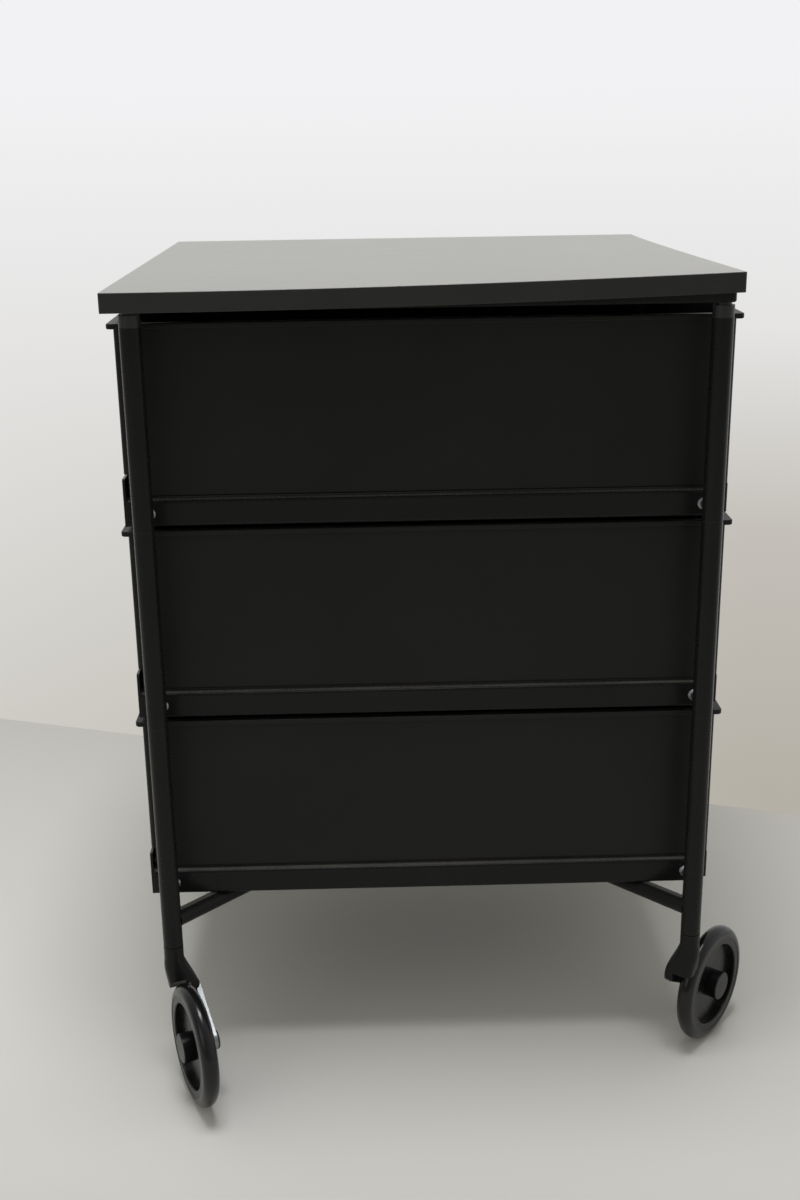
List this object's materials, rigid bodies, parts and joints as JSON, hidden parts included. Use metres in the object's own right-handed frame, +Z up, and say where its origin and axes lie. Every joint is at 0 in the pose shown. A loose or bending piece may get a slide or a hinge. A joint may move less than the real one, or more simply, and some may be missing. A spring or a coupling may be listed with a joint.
{
  "type": "mobile drawer unit",
  "caption": "Mobile drawer unit: moulded drawers stacked in a round-tube frame with C-section rails, a tray-like lid and single-wheel swivel castors.",
  "frame": {"origin": "on the floor, midway between the four columns", "axes": "+Z up, the drawers pull out towards -Y, +X towards the right-hand side as seen from the front"},
  "size_m": [0.6354, 0.57, 0.6741],
  "materials": {
    "lid_plastic": "satin black",
    "drawer_plastic": "satin black with a fine mould texture",
    "powder_coat": "satin black powder coat",
    "cap_plastic": "satin black",
    "insert_plastic": "as moulded",
    "zinc": "zinc plated",
    "glide_plastic": "smooth, low friction",
    "stop_rubber": "matt",
    "hood_plastic": "satin dark grey",
    "bright_steel": "zinc plated, bright",
    "axle_black": "satin black",
    "wheel_plastic": "semi-gloss dark grey",
    "wheel_tread": "smooth dark grey"
  },
  "bodies": {
    "frame": {"base_cross_tube": "powder_coat", "base_half_tubes": "powder_coat", "castor_bushes": "glide_plastic", "column_caps": "cap_plastic", "column_front_left_lower": "powder_coat", "column_front_left_middle": "powder_coat", "column_front_left_upper": "powder_coat", "column_front_right_lower": "powder_coat", "column_front_right_middle": "powder_coat", "column_front_right_upper": "powder_coat", "column_rear_left_lower": "powder_coat", "column_rear_left_middle": "powder_coat", "column_rear_left_upper": "powder_coat", "column_rear_right_lower": "powder_coat", "column_rear_right_middle": "powder_coat", "column_rear_right_upper": "powder_coat", "glide_strips": "glide_plastic", "lid": "lid_plastic", "rail_left_lower": "powder_coat", "rail_left_middle": "powder_coat", "rail_left_upper": "powder_coat", "rail_right_lower": "powder_coat", "rail_right_middle": "powder_coat", "rail_right_upper": "powder_coat", "rail_screws": "zinc", "rail_spacers": "zinc", "rail_stops": "stop_rubber", "rear_bar_lower": "powder_coat", "rear_bar_middle": "powder_coat", "rear_bar_upper": "powder_coat", "top_frame_end_bars": "powder_coat", "top_frame_side_bars": "powder_coat", "tube_inserts": "insert_plastic"},
    "drawer_lower_body": {"drawer_lower": "drawer_plastic"},
    "drawer_middle_body": {"drawer_middle": "drawer_plastic"},
    "drawer_upper_body": {"drawer_upper": "drawer_plastic"},
    "castor_front_left_swivel_body": {"castor_front_left_hood": "hood_plastic", "castor_front_left_stem": "bright_steel", "castor_front_left_arm": "bright_steel", "castor_front_left_axle": "axle_black"},
    "castor_front_left_wheel_body": {"castor_front_left_wheel": "wheel_plastic", "castor_front_left_tyre": "wheel_tread"},
    "castor_front_right_swivel_body": {"castor_front_right_hood": "hood_plastic", "castor_front_right_stem": "bright_steel", "castor_front_right_arm": "bright_steel", "castor_front_right_axle": "axle_black"},
    "castor_front_right_wheel_body": {"castor_front_right_wheel": "wheel_plastic", "castor_front_right_tyre": "wheel_tread"},
    "castor_rear_left_swivel_body": {"castor_rear_left_hood": "hood_plastic", "castor_rear_left_stem": "bright_steel", "castor_rear_left_arm": "bright_steel", "castor_rear_left_axle": "axle_black"},
    "castor_rear_left_wheel_body": {"castor_rear_left_wheel": "wheel_plastic", "castor_rear_left_tyre": "wheel_tread"},
    "castor_rear_right_swivel_body": {"castor_rear_right_hood": "hood_plastic", "castor_rear_right_stem": "bright_steel", "castor_rear_right_arm": "bright_steel", "castor_rear_right_axle": "axle_black"},
    "castor_rear_right_wheel_body": {"castor_rear_right_wheel": "wheel_plastic", "castor_rear_right_tyre": "wheel_tread"}
  },
  "joints": [
    {"name": "drawer_lower_slide", "type": "slide", "parent": "frame", "child": "drawer_lower_body", "axis": [0, -1, 0], "range_m": [0, 0.34]},
    {"name": "drawer_middle_slide", "type": "slide", "parent": "frame", "child": "drawer_middle_body", "axis": [0, -1, 0], "range_m": [0, 0.34]},
    {"name": "drawer_upper_slide", "type": "slide", "parent": "frame", "child": "drawer_upper_body", "axis": [0, -1, 0], "range_m": [0, 0.34]},
    {"name": "castor_front_left_swivel", "type": "hinge", "parent": "frame", "child": "castor_front_left_swivel_body", "pos_m": [-0.229, -0.2217, 0.124], "axis": [0, 0, 1], "continuous": true},
    {"name": "castor_front_left_roll", "type": "hinge", "parent": "castor_front_left_swivel_body", "child": "castor_front_left_wheel_body", "pos_m": [-0.19473, -0.25025, 0.05175], "axis": [-0.6401, -0.7683, 0], "continuous": true},
    {"name": "castor_front_right_swivel", "type": "hinge", "parent": "frame", "child": "castor_front_right_swivel_body", "pos_m": [0.229, -0.2217, 0.124], "axis": [0, 0, 1], "continuous": true},
    {"name": "castor_front_right_roll", "type": "hinge", "parent": "castor_front_right_swivel_body", "child": "castor_front_right_wheel_body", "pos_m": [0.27002, -0.2042, 0.05175], "axis": [0.3923, -0.9198, 0], "continuous": true},
    {"name": "castor_rear_left_swivel", "type": "hinge", "parent": "frame", "child": "castor_rear_left_swivel_body", "pos_m": [-0.229, 0.2217, 0.124], "axis": [0, 0, 1], "continuous": true},
    {"name": "castor_rear_left_roll", "type": "hinge", "parent": "castor_rear_left_swivel_body", "child": "castor_rear_left_wheel_body", "pos_m": [-0.27002, 0.2042, 0.05175], "axis": [-0.3923, 0.9198, 0], "continuous": true},
    {"name": "castor_rear_right_swivel", "type": "hinge", "parent": "frame", "child": "castor_rear_right_swivel_body", "pos_m": [0.229, 0.2217, 0.124], "axis": [0, 0, 1], "continuous": true},
    {"name": "castor_rear_right_roll", "type": "hinge", "parent": "castor_rear_right_swivel_body", "child": "castor_rear_right_wheel_body", "pos_m": [0.19473, 0.25025, 0.05175], "axis": [0.6401, 0.7683, 0], "continuous": true}
  ]
}
